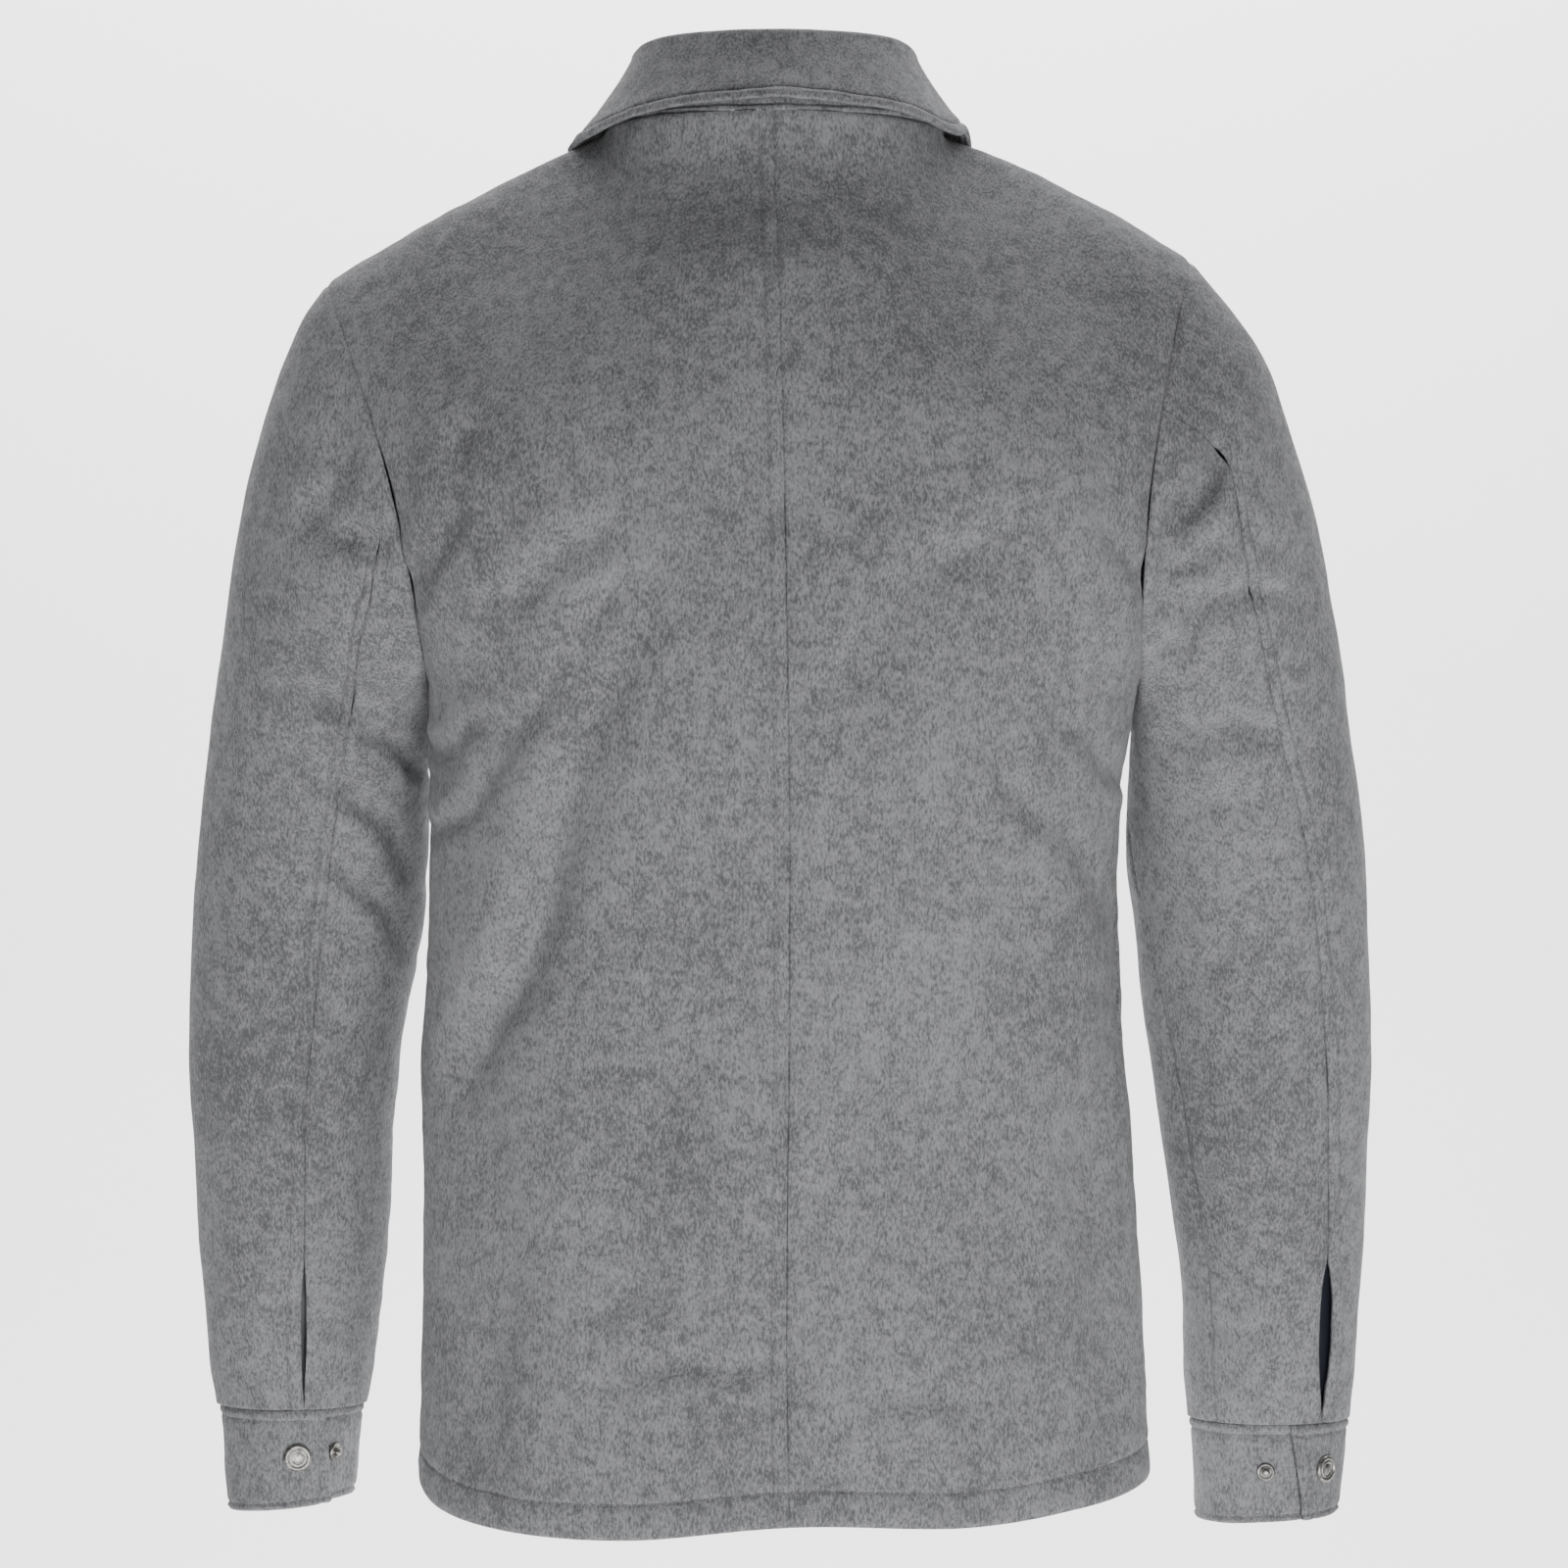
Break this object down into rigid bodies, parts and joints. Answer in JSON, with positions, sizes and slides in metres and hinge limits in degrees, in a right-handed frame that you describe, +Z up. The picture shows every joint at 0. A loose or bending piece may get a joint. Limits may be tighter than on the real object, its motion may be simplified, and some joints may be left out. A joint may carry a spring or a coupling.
{
  "type": "wool overshirt jacket",
  "caption": "Men's brushed wool overshirt jacket, filled out and hollow, with a turned-down collar, centre back seam, two-piece sleeves, and cuffs left unfastened above open vents.",
  "frame": {"origin": "middle of the neck opening, level with the collar seam at the nape, where the wearer's neck and shoulders carry the jacket", "axes": "+Z up, the back faces -Y and the front +Y, the wearer's left is at -X"},
  "size_m": [0.6423, 0.2646, 0.7939],
  "materials": {
    "wool": "heathered mid grey brushed wool, matt with a soft raised nap",
    "lining": "near-black navy satin lining",
    "snap_metal": "antique nickel, satin with darker recesses"
  },
  "bodies": {
    "root": {"back_left": "wool", "back_right": "wool", "front_left": "wool", "front_right": "wool", "collar_stand": "wool", "collar_leaf": "wool", "upper_sleeve_left": "wool", "upper_sleeve_right": "wool", "under_sleeve_left": "wool", "under_sleeve_right": "wool", "cuff_left": "wool", "cuff_right": "wool", "sleeve_lining_left": "lining", "sleeve_lining_right": "lining", "cuff_cap_left": "snap_metal", "cuff_cap_right": "snap_metal", "cuff_stud_left": "snap_metal", "cuff_stud_right": "snap_metal", "front_cap_1": "snap_metal", "front_cap_2": "snap_metal", "front_cap_3": "snap_metal", "front_cap_4": "snap_metal", "front_cap_5": "snap_metal", "front_cap_6": "snap_metal"}
  },
  "joints": []
}
